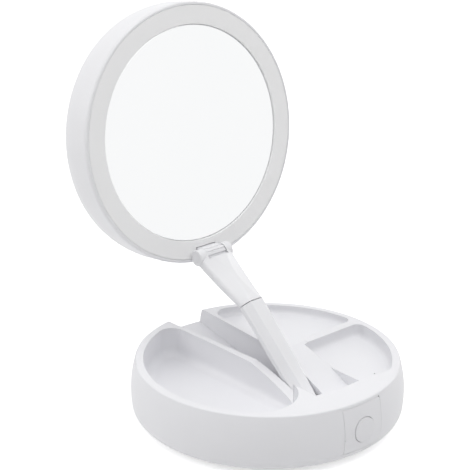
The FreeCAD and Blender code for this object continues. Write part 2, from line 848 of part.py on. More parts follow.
def battery_cells():
    cells = []
    for index in range(CELL_COUNT):
        x = cell_x(index)
        shift = "cell_tip" if index % 2 else "0"
        body = cylinder("cell_body", "cell_radius", "cell_length - cell_tip",
                        (x, f"{shift} - cell_length / 2", "cell_level"), "y")
        rod = cylinder("cell_rod", "cell_tip_radius", "cell_length",
                       (x, "-cell_length / 2", "cell_level"), "y")
        cells.append(fuse("cell", body, rod))
    on_base(group("battery_cells", *cells), "battery_cells")


def contact(first, last, end):
    """A strip of sheet across the ends of neighbouring cells, with a button for each cell."""
    outer = f"({end} * {BOX_HALF})"
    sheet_face = f"({outer} - {end} * contact_thick)"
    cell_end = f"({end} * (cell_length / 2 + cell_gap))"
    strip = block("contact_strip", (f"{cell_x(first)} - contact_half", f"{cell_x(last)} + contact_half"),
                  sorted((outer, sheet_face), key=number),
                  ("cell_level - contact_rise", "cell_level + contact_rise"))
    low, high = sorted((sheet_face, cell_end), key=number)
    buttons = []
    for index in range(first, last + 1):
        buttons.append(cylinder("contact_button", "contact_button_radius", f"{high} - {low}",
                                (cell_x(index), low, "cell_level"), "y"))
    return fuse("contact", strip, *buttons)


def contact_row(label, start, end):
    """Contacts that join the cells in pairs from a start, along one end of the box."""
    strips = []
    for first in range(start, CELL_COUNT, 2):
        strips.append(contact(max(first, 0), min(first + 1, CELL_COUNT - 1), end))
    on_base(group(label, *strips), label)


def battery_contacts():
    contact_row("front_contacts", -1, -1)
    contact_row("rear_contacts", 0, 1)


def battery_door():
    half = f"({BOX_HALF} - door_gap)"
    panel = block("door_panel", (f"{BOX_LEFT} + door_gap", DOOR_AXIS_X), (f"-{half}", half),
                  ("foot_height", "foot_height + door_thick"))
    knuckle = cylinder("door_knuckle", "door_knuckle - door_gap", f"2 * {half}",
                       (DOOR_AXIS_X, f"-{half}", DOOR_AXIS_Z), "y")
    bore = cylinder("door_bore", "door_pin_radius + running_fit", f"2 * {BOX_HALF}",
                    (DOOR_AXIS_X, f"-{BOX_HALF}", DOOR_AXIS_Z), "y")
    on_base(cut("battery_door", fuse("door_sheet", panel, knuckle), bore), "battery_door")


def door_pin():
    rod = cylinder("door_pin_rod", "door_pin_radius", f"2 * {DOOR_PIN_HALF}",
                   (DOOR_AXIS_X, f"-{DOOR_PIN_HALF}", DOOR_AXIS_Z), "y")
    on_base(group("door_pin", rod), "door_pin")


# Switch panel, power button and the electronics behind it
def panel_area(name, extra):
    """The part of the front wall that the switch panel takes, larger by extra all round."""
    half = f"(panel_half + {extra})"
    return block(name, (f"-{half}", half), (f"-{FAR}", f"panel_back_y + {extra}"),
                 (f"foot_height + panel_foot - {extra}", f"{RIM} - panel_drop + {extra}"))


def switch_panel():
    face = common("panel_face", casing_outside("panel_skin"), panel_area("panel_block", "0"))
    wide = "(panel_half + panel_overlap)"
    height = ("foot_height + panel_foot + panel_overlap", f"{RIM} - 2 * wall - panel_overlap")
    flange_back = "panel_back_y + panel_flange"
    flange = block("panel_flange", (f"-{wide}", wide), ("panel_back_y + panel_gap", flange_back), height)
    bridge = block("panel_bridge", ("-panel_half", "panel_half"), ("panel_back_y", flange_back), height)
    posts = []
    holes = []
    for x in BOARD_POSTS:
        posts.append(cylinder("board_post", "board_post_radius", "board_front_y - panel_back_y",
                              (x, "panel_back_y", "button_level"), "y"))
        holes.append(cylinder("board_thread", "small_screw_radius + screw_gap", "board_thread",
                              (x, "board_front_y - board_thread", "button_level"), "y"))
    holes.append(cylinder("button_hole", "button_radius", FAR,
                          ("0", f"board_front_y - {FAR}", "button_level"), "y"))
    holes.append(cylinder("pry_notch", "notch_radius", f"{FAR} + panel_back_y - panel_flange",
                          ("panel_half", f"-{FAR}", f"{RIM} - panel_drop"), "y"))
    on_base(cut("switch_panel", fuse("panel_body", face, flange, bridge, *posts), *holes), "switch_panel")


def power_button():
    body = cylinder("button_body", "button_radius - button_gap", f"{FAR} + button_inner_y",
                    ("0", f"-{FAR}", "button_level"), "y")
    face = common("button_face", casing_outside("button_skin"), body)
    back = ("0", "button_inner_y - flange_thick", "button_level")
    flange = cylinder("button_flange", "button_radius + flange_extra", "flange_thick", back, "y")
    stem = cylinder("button_stem", "stem_radius", "stem_length + flange_thick", back, "y")
    whole = fuse("power_button", face, flange, stem)
    node(put(whole, y="base_y - button_proud"), "power_button")


def switch_plunger():
    stem_end = "button_inner_y - button_proud + stem_length"
    rod = cylinder("plunger_rod", "plunger_radius", "plunger_length", ("0", stem_end, "button_level"), "y")
    on_base(group("switch_plunger", rod), "switch_plunger")


def push_switch():
    front = "board_front_y - switch_depth"
    body = block("switch_body", ("-switch_side / 2", "switch_side / 2"), (front, "board_front_y"),
                 ("button_level - switch_side / 2", "button_level + switch_side / 2"))
    bore = cylinder("switch_bore", "plunger_radius + running_fit", "switch_depth - switch_floor",
                    ("0", front, "button_level"), "y")
    on_base(cut("push_switch", body, bore), "push_switch")


def control_board():
    back = "board_front_y + board_thick"
    board = block("board_sheet", ("-board_half", "board_half"), ("board_front_y", back),
                  ("board_bottom", "board_top"))
    holes = []
    screws = []
    for x in BOARD_POSTS:
        holes.append(cylinder("board_hole", "small_screw_radius + 2 * screw_gap", "board_thick",
                              (x, "board_front_y", "button_level"), "y"))
        screws.append(small_screw("board_screw", (x, f"{back} + small_head", "button_level"),
                                  Rotation(Vector(1, 0, 0), 90), "board_thick + board_thread - thread_room"))
    on_base(cut("control_board", board, *holes), "control_board")
    on_base(group("board_screws", *screws), "board_screws")


# Pivot of the arm
def pivot_parts():
    pin = crossbar("pivot_rod", "pivot_pin_radius", PIVOT_HALF, "pivot_y", "pivot_level")
    on_base(group("pivot_pin", pin), "pivot_pin")
    low = "pivot_level - cap_drop"
    cap = block("cap_block", ("bearing_inner", "bearing_outer"),
                ("pivot_y - bearing_half", "pivot_y + bearing_half"), (low, "pivot_level - screw_gap"))
    groove = crossbar("cap_groove", "pivot_pin_radius + running_fit", f"{PIVOT_HALF} + seat_gap",
                      "pivot_y", "pivot_level")
    tools = [groove]
    screws = []
    for end in (-1, 1):
        place = ("(bearing_inner + bearing_outer) / 2", f"pivot_y + {end} * cap_screw_y")
        tools.append(cylinder("cap_hole", "small_screw_radius + 2 * screw_gap", "cap_drop", (*place, low)))
        screws.append(small_screw("cap_screw", (*place, f"{low} - small_head"), FLAT,
                                  "cap_drop + cap_thread - thread_room"))
    right_cap = cut("right_cap", cap, *tools)
    on_base(group("pivot_caps", right_cap, mirrored(right_cap)), "pivot_caps")
    on_base(group("cap_screws", *screws, *[mirrored(item) for item in screws]), "cap_screws")


def pivot_washers():
    disc = cylinder("washer_disc", "washer_radius", "bearing_inner - knuckle_half - 2 * washer_gap",
                    ("knuckle_half + washer_gap", "0", "0"), "x")
    hole = crossbar("washer_hole", "pivot_pin_radius + running_fit", "bearing_outer")
    ring = cut("pivot_washer", disc, hole)
    on_arm(group("pivot_washers", ring, mirrored(ring)), "pivot_washers")


# Lower arm, drawn with the pivot at the origin, and upper arm, drawn with the elbow at the origin
LOWER_SCREWS = ("channel_from + near_screw", "channel_to - far_screw")
UPPER_BOTTOM = "(arm_bottom * cos(elbow_bend))"
UPPER_FROM = "(seam_gap + spindle_above)"
UPPER_TO = "(upper_length - fork_depth - fork_web)"
UPPER_SCREWS = (f"({UPPER_FROM} + {UPPER_TO}) / 2 + upper_screw_shift",)
SPINDLE_FROM = "(lower_length - spindle_below)"
BUSH_BORE = "(spindle_radius + running_fit)"


def arm_section(name, y, half, band, top="arm_top", drop="shoulder", under=None):
    """One cross-section of the arm: a flat band on top, a sloping facet on each side and a flat back."""
    right = [(band, top), (half, "shoulder"), (half, f"-{drop}"), (under or band, "-arm_bottom")]
    left = [(f"-({x})", z) for x, z in reversed(right)]
    return put(outline(name, right + left, FRONT), y=y)


def loft(name, *sections, ruled=True):
    item = doc.addObject("Part::Loft", name)
    item.Sections = list(sections)
    item.Solid = True
    item.Ruled = ruled
    return item


def arm_cover(part, place, bottom, low, high, screw_places):
    """The plate that closes the channel under a part of the arm, with its screws."""
    plate = block("cover_sheet", ("-channel_half + plate_gap", "channel_half - plate_gap"),
                  (f"{low} + plate_gap", f"{high} - plate_gap"), (f"-{bottom}", f"cover_plate - {bottom}"))
    tools = []
    screws = []
    for y in screw_places:
        spot = ("0", y, f"-{bottom}")
        tools.append(cylinder("plate_hole", "small_screw_radius + 2 * screw_gap", "cover_plate", spot))
        tools.append(cylinder("plate_recess", "small_head_radius + screw_gap", "small_head", spot))
        screws.append(small_screw("arm_screw", spot, FLAT,
                                  "cover_plate - small_head + arm_thread - thread_room"))
    place(cut(part + "_cover", plate, *tools), part + "_cover")
    place(group(part + "_screws", *screws), part + "_screws")


def channel(name, bottom, low, high, screw_places):
    """The wire channel under a part of the arm, less the posts that its cover is screwed to."""
    room = block(name + "_room", ("-channel_half", "channel_half"), (low, high),
                 (f"-2 * {bottom}", "channel_top"))
    posts = []
    for y in screw_places:
        foot = ("0", y, f"cover_plate - {bottom}")
        post = cylinder(name + "_post", "small_post_radius", f"{bottom} + channel_top - cover_plate", foot)
        hole = cylinder(name + "_thread", "small_screw_radius + screw_gap", "arm_thread", foot)
        posts.append(cut(name + "_boss", post, hole))
    return cut(name, room, *posts)


def lower_arm():
    knuckle = crossbar("arm_knuckle", "arm_top", "knuckle_half")
    beam = loft("arm_beam", arm_section("root_section", "0", "arm_root_half", "band_root_half"),
                arm_section("seam_section", "lower_length", "arm_seam_half", "band_seam_half"))
    beam = rounded("arm_beam_soft", beam, "arm_edge_round", lengthwise)
    bore = crossbar("knuckle_bore", "pivot_pin_radius + running_fit", "bearing_outer")
    seat = cylinder("bush_seat", f"{BUSH_BORE} + bush_thick + push_fit", FAR,
                    ("0", f"channel_to - {OVER}", "0"), "y")
    room = channel("lower_channel", "arm_bottom", "channel_from", "channel_to", LOWER_SCREWS)
    shell = cut("lower_arm_shell", fuse("arm_and_knuckle", knuckle, beam), bore, seat, room)
    on_arm(shell, "lower_arm_shell")
    arm_cover("lower_arm", on_arm, "arm_bottom", "channel_from", "channel_to", LOWER_SCREWS)


def swivel_bush():
    tube = cylinder("bush_tube", f"{BUSH_BORE} + bush_thick", "bush_length", ("0", "channel_to", "0"), "y")
    flange = cylinder("bush_flange_disc", "bush_flange_radius", "bush_flange",
                      ("0", "lower_length", "0"), "y")
    hole = cylinder("bush_hole", BUSH_BORE, FAR, along="y")
    on_arm(cut("swivel_bush", fuse("bush_body", tube, flange), hole), "swivel_bush")


def upper_arm():
    """The upper arm: its top narrows to a ridge between the seam, square to the lower arm, and the fork."""
    seam = arm_section("upper_seam_section", "0", "arm_seam_half", "band_seam_half")
    put(leaning(seam, "90 + elbow_bend"), "0", "seam_gap * cos(elbow_bend)", "seam_gap * sin(elbow_bend)")
    neck = arm_section("neck_section", "upper_length - neck_back", "neck_half", "neck_band_half",
                       "ear_radius", "fork_drop", "neck_under_half")
    fork = arm_section("fork_section", "upper_length", "fork_half", "fork_band_half",
                       "ear_radius", "fork_drop")
    beam = loft("upper_beam", seam, neck, fork, ruled=False)
    beam = rounded("upper_beam_soft", beam, "upper_edge_round", lengthwise)
    ears = crossbar("ears", "ear_radius", "fork_half", "upper_length")
    ears = rounded("ears_soft", ears, "ear_round", crosswise)
    fork_gap = block("fork_gap", ("-fork_gap_half", "fork_gap_half"), ("upper_length - fork_depth", FAR),
                     (f"-{FAR}", FAR))
    bore = crossbar("ear_bore", "hinge_pin_radius + running_fit", FAR, "upper_length")
    sink = cylinder("cap_sink", "hinge_cap_radius + screw_gap", f"hinge_cap + {OVER}",
                    ("fork_half - hinge_cap", "upper_length", "0"), "x")
    seat = cylinder("spindle_seat", "spindle_radius + push_fit", f"seam_gap + spindle_above + {OVER}")
    leaning(seat, "90 - elbow_bend", Vector(-1, 0, 0))
    room = channel("upper_channel", UPPER_BOTTOM, UPPER_FROM, UPPER_TO, UPPER_SCREWS)
    body = fuse("upper_beam_and_ears", beam, ears)
    shell = cut("upper_arm_shell", body, fork_gap, bore, sink, mirrored(sink), seat, room)
    on_upper(shell, "upper_arm_shell")
    arm_cover("upper_arm", on_upper, UPPER_BOTTOM, UPPER_FROM, UPPER_TO, UPPER_SCREWS)


def swivel_parts():
    """The hollow spindle that the upper arm turns on, with the clip and spring that hold it in the bush."""
    length = "spindle_below + seam_gap + spindle_above"
    clip_y = f"({SPINDLE_FROM} + clip_margin)"
    groove_place = ("0", f"{clip_y} - screw_gap", "0")
    groove_width = "clip_thick + 2 * screw_gap"
    groove_core = "(spindle_radius - groove_depth)"
    rod = cylinder("spindle_rod", "spindle_radius", length, ("0", SPINDLE_FROM, "0"), "y")
    bore = cylinder("spindle_wire_bore", "spindle_bore", length, ("0", SPINDLE_FROM, "0"), "y")
    groove = cylinder("groove_outer", f"spindle_radius + {OVER}", groove_width, groove_place, "y")
    core = cylinder("groove_core", groove_core, groove_width, groove_place, "y")
    on_arm(cut("swivel_spindle", rod, bore, cut("clip_groove", groove, core)), "swivel_spindle")
    disc = cylinder("clip_disc", "clip_radius", "clip_thick", ("0", clip_y, "0"), "y")
    hole = cylinder("clip_hole", f"{groove_core} + screw_gap", "clip_thick", ("0", clip_y, "0"), "y")
    mouth = block("clip_mouth", ("-clip_mouth_half", "clip_mouth_half"),
                  (f"{clip_y} - {OVER}", f"{clip_y} + clip_thick + {OVER}"), ("0", f"clip_radius + {OVER}"))
    on_arm(cut("swivel_clip", disc, hole, mouth), "swivel_clip")
    spring_y = f"({clip_y} + clip_thick + screw_gap)"
    reach = f"(channel_to - {spring_y} - screw_gap)"
    sleeve = cylinder("spring_body", "clip_radius", reach, ("0", spring_y, "0"), "y")
    inner = cylinder("spring_hole", BUSH_BORE, reach, ("0", spring_y, "0"), "y")
    on_arm(cut("swivel_spring", sleeve, inner), "swivel_spring")


def hinge_parts():
    rod = crossbar("hinge_rod", "hinge_pin_radius", "fork_half - hinge_cap - screw_gap", "upper_length")
    on_upper(rounded("hinge_pin", rod, "hinge_pin_round", crosswise), "hinge_pin")
    cap = cylinder("hinge_cap", "hinge_cap_radius", "hinge_cap",
                   ("fork_half - hinge_cap", "upper_length", "0"), "x")
    on_upper(group("hinge_caps", cap, mirrored(cap)), "hinge_caps")
    ring = cylinder("hinge_ring", "hinge_washer_radius", "fork_gap_half - head_knuckle_half - 2 * washer_gap",
                    ("head_knuckle_half + washer_gap", "upper_length", "0"), "x")
    hole = crossbar("hinge_ring_hole", "hinge_pin_radius + running_fit", FAR, "upper_length")
    washer = cut("hinge_washer", ring, hole)
    on_upper(group("hinge_washers", washer, mirrored(washer)), "hinge_washers")


# Head, drawn with the middle of its face at the origin and the face towards +Z
PLATE_BACK = "(plate_front + plate_thick)"
RING_SEAT = "(ring_thick + glass_gap)"
MIRROR_BACK = "(mirror_recess + mirror_thick)"
BRACKET_SCREWS = ("-bracket_screw_x", "bracket_screw_x")
BRACKET_SCREW_Y = "(bracket_screw_rise - hinge_drop)"
HINGE_PLACE = ("-hinge_drop", "hinge_offset")


def on_circle(angle):
    """A place on the circle of the lights."""
    return (f"led_ring_radius * cos({angle})", f"led_ring_radius * sin({angle})")


def head_housing():
    inner = "(head_radius - head_wall)"
    back = "(seat_gap - head_depth)"
    front_middle = (f"head_front_radius + (head_radius - head_front_radius) * {SLANT}",
                    f"-head_edge * (1 - {SLANT})")
    back_middle = ("head_radius - (head_radius - head_back_radius) / 4", "-head_depth * 3 / 4")
    band = lathe("housing_band", [
        ("0", "-plate_front"),
        (inner, "-plate_front"),
        (inner, f"-{RING_SEAT}"),
        ("ring_radius + ring_fit", f"-{RING_SEAT}"),
        ("ring_radius + ring_fit", "-glass_gap"),
        ("head_front_radius", "-glass_gap", front_middle),
        ("head_radius", "-head_edge"),
        ("head_radius", "-head_depth / 2", back_middle),
        ("head_back_radius", back),
        (inner, back),
        (inner, f"-{PLATE_BACK}"),
        ("0", f"-{PLATE_BACK}"),
    ])
    posts = []
    holes = []
    for angle in POST_ANGLES:
        spot = on_circle(angle)
        posts.append(cylinder("led_post", "small_post_radius", "led_board_height", (*spot, "-plate_front")))
        posts.append(cylinder("bezel_post", "bezel_post_radius", f"head_depth - bezel_thick - {PLATE_BACK}",
                              (*spot, "bezel_thick - head_depth")))
        holes.append(cylinder("led_thread", "small_screw_radius + screw_gap", "led_thread",
                              (*spot, "led_board_height - plate_front - led_thread")))
    for x in BRACKET_SCREWS:
        holes.append(cylinder("bracket_thread", "small_screw_radius + screw_gap", f"plate_thick + 2 * {OVER}",
                              (x, BRACKET_SCREW_Y, f"-{PLATE_BACK} - {OVER}")))
    on_head(cut("head_housing", fuse("housing_and_posts", band, *posts), *holes), "head_housing")


def front_light_ring():
    edge = f"ring_round * (1 - {SLANT})"
    ring = lathe("ring_band", [
        ("ring_inner", "-ring_thick"),
        ("ring_radius", "-ring_thick"),
        ("ring_radius", "-ring_round", (f"ring_radius - {edge}", f"-{edge}")),
        ("ring_radius - ring_round", "0"),
        ("ring_inner + ring_round", "0", (f"ring_inner + {edge}", f"-{edge}")),
        ("ring_inner", "-ring_round"),
    ])
    notch = block("ring_notch", ("-(head_knuckle_half + notch_gap)", "head_knuckle_half + notch_gap"),
                  (f"-{FAR}", "web_front + notch_gap - hinge_drop"), (f"-{FAR}", FAR))
    on_head(cut("front_light_ring", ring, notch), "front_light_ring")


def front_mirror():
    disc = lathe("mirror_disc", [
        ("0", f"-{MIRROR_BACK}"),
        ("mirror_radius", f"-{MIRROR_BACK}"),
        ("mirror_radius", "-mirror_recess - mirror_bevel"),
        ("mirror_radius - mirror_bevel", "-mirror_recess"),
        ("0", "-mirror_recess"),
    ])
    on_head(disc, "front_mirror")


def mirror_carrier():
    """The cup that holds the front mirror above the plate in the housing."""
    top = f"(-{MIRROR_BACK} - glass_gap)"
    cup = lathe("carrier_cup", [
        ("0", top),
        ("mirror_radius", top),
        ("mirror_radius", "glass_gap - plate_front"),
        ("mirror_radius - carrier_thick", "glass_gap - plate_front"),
        ("mirror_radius - carrier_thick", f"{top} - carrier_thick"),
        ("0", f"{top} - carrier_thick"),
    ])
    on_head(cup, "mirror_carrier")


LED_LEVEL = "(led_board_height - plate_front)"
LED_TOP = f"({LED_LEVEL} + led_board_thick)"


def led_board():
    ring = cylinder("led_disc", "led_board_outer", "led_board_thick", ("0", "0", LED_LEVEL))
    tools = [cylinder("led_middle", "led_board_inner", "led_board_thick", ("0", "0", LED_LEVEL)),
             block("led_gap", ("-led_board_gap", "led_board_gap"), (f"-{FAR}", "0"), (f"-{FAR}", FAR))]
    screws = []
    for angle in POST_ANGLES:
        spot = on_circle(angle)
        tools.append(cylinder("led_screw_hole", "small_screw_radius + 2 * screw_gap", "led_board_thick",
                              (*spot, LED_LEVEL)))
        screws.append(small_screw("led_screw", (*spot, f"{LED_TOP} + small_head"), UPSIDE_DOWN,
                                  "led_board_thick + led_thread - thread_room"))
    on_head(cut("led_board", ring, *tools), "led_board")
    on_head(group("led_board_screws", *screws), "led_board_screws")


def clear_of_posts(angle):
    room = math.degrees(number("led_room / led_ring_radius"))
    return all(abs((angle - post + 180) % 360 - 180) > room for post in POST_ANGLES)


def led_chips():
    """Chips round the light board, with a gap at the hinge and none on a screw."""
    step = (360 - 2 * LED_GAP_ANGLE) / (LED_COUNT - 1)
    angles = [LED_GAP_ANGLE - 90 + index * step for index in range(LED_COUNT)]
    chips = []
    for angle in filter(clear_of_posts, angles):
        chip = block("led_chip", ("-led_side / 2", "led_side / 2"), ("-led_side / 2", "led_side / 2"),
                     ("0", "led_height"))
        turned(chip, Rotation(Vector(0, 0, 1), angle))
        reach = "(led_ring_radius - led_side / 2)"
        put(chip, f"{reach} * cos({angle}) + led_side / 2 * sin({angle})",
            f"{reach} * sin({angle}) - led_side / 2 * cos({angle})", LED_TOP)
        chips.append(chip)
    on_head(group("led_chips", *chips), "led_chips")


def hinge_bracket():
    """The bracket with the ribbed knuckle, screwed to the housing's plate at the bottom of the head."""
    width = ("-hinge_drop - web_back", "web_front - hinge_drop")
    foot = block("bracket_foot", ("-bracket_half", "bracket_half"), width,
                 ("glass_gap - plate_front", "bracket_thick - plate_front"))
    web = block("bracket_web", ("-head_knuckle_half", "head_knuckle_half"), width,
                ("glass_gap - plate_front", "hinge_offset"))
    knuckle = crossbar("head_knuckle", "head_knuckle_radius", "head_knuckle_half", *HINGE_PLACE)
    limit = cylinder("bracket_limit", "head_radius - head_wall - notch_gap", f"2 * {FAR}",
                     ("0", "0", f"-{FAR}"))
    tools = [crossbar("head_bore", "hinge_pin_radius + running_fit", FAR, *HINGE_PLACE)]
    for angle in GROOVE_ANGLES:
        tools.append(crossbar("rib_groove", "groove_radius", "head_knuckle_half",
                              f"head_knuckle_radius * cos({angle}) - hinge_drop",
                              f"hinge_offset + head_knuckle_radius * sin({angle})"))
    screws = []
    for x in BRACKET_SCREWS:
        tools.append(cylinder("bracket_hole", "small_screw_radius + 2 * screw_gap", "bracket_thick",
                              (x, BRACKET_SCREW_Y, "-plate_front")))
        head_top = "bracket_thick - plate_front + small_head"
        screws.append(small_screw("bracket_screw", (x, BRACKET_SCREW_Y, head_top), UPSIDE_DOWN,
                                  "bracket_thick + plate_thick - seat_gap"))
    body = fuse("bracket_body", common("bracket_inside", fuse("bracket_sum", foot, web), limit), knuckle)
    on_head(cut("hinge_bracket", body, *tools), "hinge_bracket")
    on_head(group("bracket_screws", *screws), "bracket_screws")


def rear_mirror():
    """The hollow magnifying mirror at the back of the head."""
    edge = "(rear_lip - head_depth)"
    curve = "((rear_mirror_radius ^ 2 + rear_mirror_sag ^ 2) / (2 * rear_mirror_sag))"
    middle = f"({edge} + rear_mirror_sag - {curve})"
    disc = cylinder("glass_disc", "rear_mirror_radius", "rear_mirror_sag + mirror_thick", ("0", "0", edge))
    front = sphere("glass_front", curve, middle)
    back = sphere("glass_back", curve, f"{middle} + mirror_thick")
    on_head(cut("rear_mirror", common("glass_block", disc, back), front), "rear_mirror")


def rear_mirror_seat():
    """The ring between the housing's plate and the rim of the rear mirror."""
    inner = "(rear_mirror_radius - rear_seat_in)"
    outer = "(rear_mirror_radius + rear_seat_out)"
    low = "(rear_lip - head_depth + mirror_thick + glass_gap + seat_gap)"
    high = f"-({PLATE_BACK} + glass_gap)"
    ring = lathe("rear_seat", [(inner, high), (inner, low), (outer, low), (outer, high)])
    on_head(ring, "rear_mirror_seat")


def rear_bezel():
    outer = "(head_radius - head_wall - seat_gap)"
    lip = "(rear_mirror_radius + seat_gap)"
    lip_top = "rear_lip - head_depth - glass_gap"
    top = "bezel_thick - head_depth - glass_gap"
    ring = lathe("rear_ring", [
        ("bezel_inner", "-head_depth"),
        (outer, "-head_depth"),
        (outer, top),
        (lip, top),
        (lip, lip_top),
        ("bezel_inner", lip_top),
    ])
    on_head(ring, "rear_bezel")


# Build every piece
tray_casing()
bottom_cover()
rubber_feet()
cover_screws()
battery_cells()
battery_contacts()
battery_door()
door_pin()
switch_panel()
power_button()
switch_plunger()
push_switch()
control_board()
pivot_parts()
pivot_washers()
lower_arm()
swivel_bush()
upper_arm()
swivel_parts()
hinge_parts()
head_housing()
front_light_ring()
front_mirror()
mirror_carrier()
led_board()
led_chips()
hinge_bracket()
rear_mirror()
rear_mirror_seat()
rear_bezel()
doc.removeObject(scratch.Name)
doc.recompute()

# Check and write every piece
for item in doc.Objects:
    if "Invalid" in item.State or "Error" in item.State:
        raise RuntimeError(f"{item.Label} did not build: {item.State}")
os.makedirs("parts", exist_ok=True)
for item in nodes:
    if item.Shape.isNull() or not item.Shape.isValid():
        raise RuntimeError(f"{item.Label} has no valid shape")
    item.Shape.exportStep(f"parts/{item.Label}.step")
    print(item.Label, len(item.Shape.Solids), round(item.Shape.Volume))
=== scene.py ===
import math

import bpy
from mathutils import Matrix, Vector


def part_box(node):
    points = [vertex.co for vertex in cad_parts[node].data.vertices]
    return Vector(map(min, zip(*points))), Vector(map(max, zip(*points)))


# Looks of the folding makeup mirror: materials, soft studio light and the photograph's camera. Metres.

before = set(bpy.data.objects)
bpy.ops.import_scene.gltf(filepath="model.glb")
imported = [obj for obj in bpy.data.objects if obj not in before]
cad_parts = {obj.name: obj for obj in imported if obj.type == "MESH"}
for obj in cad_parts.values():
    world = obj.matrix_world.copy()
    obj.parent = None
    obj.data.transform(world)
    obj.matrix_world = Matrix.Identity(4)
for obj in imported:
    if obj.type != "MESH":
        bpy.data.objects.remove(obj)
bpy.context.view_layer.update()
scene = bpy.context.scene
scene.view_settings.view_transform = "Standard"

# Camera, from the photograph's frame
CAMERA_PLACE = (-0.57344, -0.63824, 0.4442)
CAMERA_TURN = -41.02
CAMERA_DROP = 20.91
FOCAL_PIXELS = 1500
IMAGE_PIXELS = 470
SENSOR = 36

# Light
SKY_ABOVE = 0.95
SKY_AROUND = 0.16
FLOOR_SIZE = 8
FLOOR_COLOUR = (0.88, 0.88, 0.88, 1)
FLOOR_LIFT = 0.55
FLOOR_ROUGHNESS = 0.9
FLOOR_SHINE = 0.0
WHITE = (1, 1, 1, 1)

# Points that the lamps aim at
MIDDLE = (0, 0, 0.1)
HEAD = (0, 0, 0.2)

# Lamps: place, aim, side in metres and power in watts
LAMPS = {
    "top_box": ((0.0, -0.15, 1.3), MIDDLE, 1.0, 4.0),
    "left_box": ((-1.1, 0.85, 0.75), MIDDLE, 0.8, 4.4),
    "right_box": ((1.3, 0.0, 0.5), MIDDLE, 0.8, 2.4),
    "front_box": ((0.15, -0.55, 0.6), HEAD, 0.4, 0.25),
}

# Colours
CASING_WHITE = (0.84, 0.84, 0.865)
HEAD_WHITE = (0.86, 0.86, 0.88)
RING_WHITE = (0.95, 0.95, 0.955)
INNER_WHITE = (0.80, 0.80, 0.81)
SILVER_DIM = (0.93, 0.94, 0.945)
SILVER = (0.95, 0.955, 0.96)
STEEL = (0.55, 0.56, 0.57)
BRASS = (0.72, 0.56, 0.28)
CHIP_YELLOW = (0.9, 0.84, 0.55)
RUBBER_GREY = (0.06, 0.06, 0.065)
JACKET_GREY = (0.08, 0.08, 0.1)
BLACK = (0.03, 0.03, 0.03)
NYLON = (0.72, 0.72, 0.69)
MASK_GREEN = (0.01, 0.09, 0.03, 1)
MASK_GREEN_PALE = (0.012, 0.10, 0.035, 1)
TRACK_GREEN = (0.03, 0.17, 0.06, 1)

# Noise and edges
NOISE_LOW = 0.3
NOISE_HIGH = 0.7
BUMP_STRENGTH = 0.4
EDGE_SAMPLES = 6

# Moulded plastic
MOTTLE_SIZE = 0.03
MOTTLE_SHADE = 0.985
DARK_MOTTLE_SHADE = 0.7
RUBBER_MOTTLE_SHADE = 0.8
GLOSS_SIZE = 0.006
GLOSS_SWING = 0.02
GRAIN_SIZE = 0.0004
GRAIN_DEPTH = 0.00001
EDGE = 0.0005
BUTTON_EDGE = 0.0008
SMALL_EDGE = 0.0002
BUTTON_SHADE = 0.99
SKIN_WEIGHT = 0.2
SKIN_REACH = 0.004

# Mirror glass
HAZE_SIZE = 0.025
HAZE_MOST = 0.05
TINT_SIZE = 0.08

# Metal
LINE_SIZE = 0.0006
LINE_SHADE = 0.85
LINE_DEPTH = 0.00001
BRUSH_SWING = 0.08

# Circuit board
TRACK_PITCH = 1 / 120
TRACK_WIDTH = 0.06
TRACK_DEPTH = 0.00003
MASK_SIZE = 0.004
MASK_SMOOTHEST = 0.3
MASK_ROUGHEST = 0.42
BOARD_EDGE = 0.0001

# Sockets of the colour mix node, whose colours follow those for numbers and vectors
MIX_SHARE = 0
MIX_FIRST = 6
MIX_SECOND = 7
MIX_RESULT = 2

# Rear mirror: the radius of its hollow face, and the head's lean in degrees
REAR_CURVE = 0.527
HEAD_LEAN = 8.5


# Node helpers
def new_material(name):
    made = bpy.data.materials.new(name)
    made.use_nodes = True
    return made, made.node_tree, made.node_tree.nodes["Principled BSDF"]


def object_place(tree):
    return tree.nodes.new("ShaderNodeTexCoord").outputs["Object"]


def stretched(tree, place, scale):
    made = tree.nodes.new("ShaderNodeMapping")
    made.inputs["Scale"].default_value = scale
    tree.links.new(place, made.inputs["Vector"])
    return made.outputs["Vector"]


def noise(tree, place, size, detail=3.0):
    """Noise whose patches are about the given size."""
    made = tree.nodes.new("ShaderNodeTexNoise")
    made.inputs["Scale"].default_value = 1 / size
    made.inputs["Detail"].default_value = detail
    tree.links.new(place, made.inputs["Vector"])
    return made.outputs["Fac"]


def spread(tree, value, low, high):
    """Map the middle of a noise to a range."""
    made = tree.nodes.new("ShaderNodeMapRange")
    made.inputs["From Min"].default_value = NOISE_LOW
    made.inputs["From Max"].default_value = NOISE_HIGH
    made.inputs["To Min"].default_value = low
    made.inputs["To Max"].default_value = high
    tree.links.new(value, made.inputs["Value"])
    return made.outputs["Result"]


def colours(tree, share, first, second):
    """Mix two colours by a share of the second."""
    made = tree.nodes.new("ShaderNodeMix")
    made.data_type = "RGBA"
    made.inputs[MIX_FIRST].default_value = (*first, 1)
    made.inputs[MIX_SECOND].default_value = (*second, 1)
    tree.links.new(share, made.inputs[MIX_SHARE])
    return made.outputs[MIX_RESULT]


def softened(tree, edge):
    """A normal that softens edges by a radius."""
    made = tree.nodes.new("ShaderNodeBevel")
    made.samples = EDGE_SAMPLES
    made.inputs["Radius"].default_value = edge
    return made.outputs["Normal"]


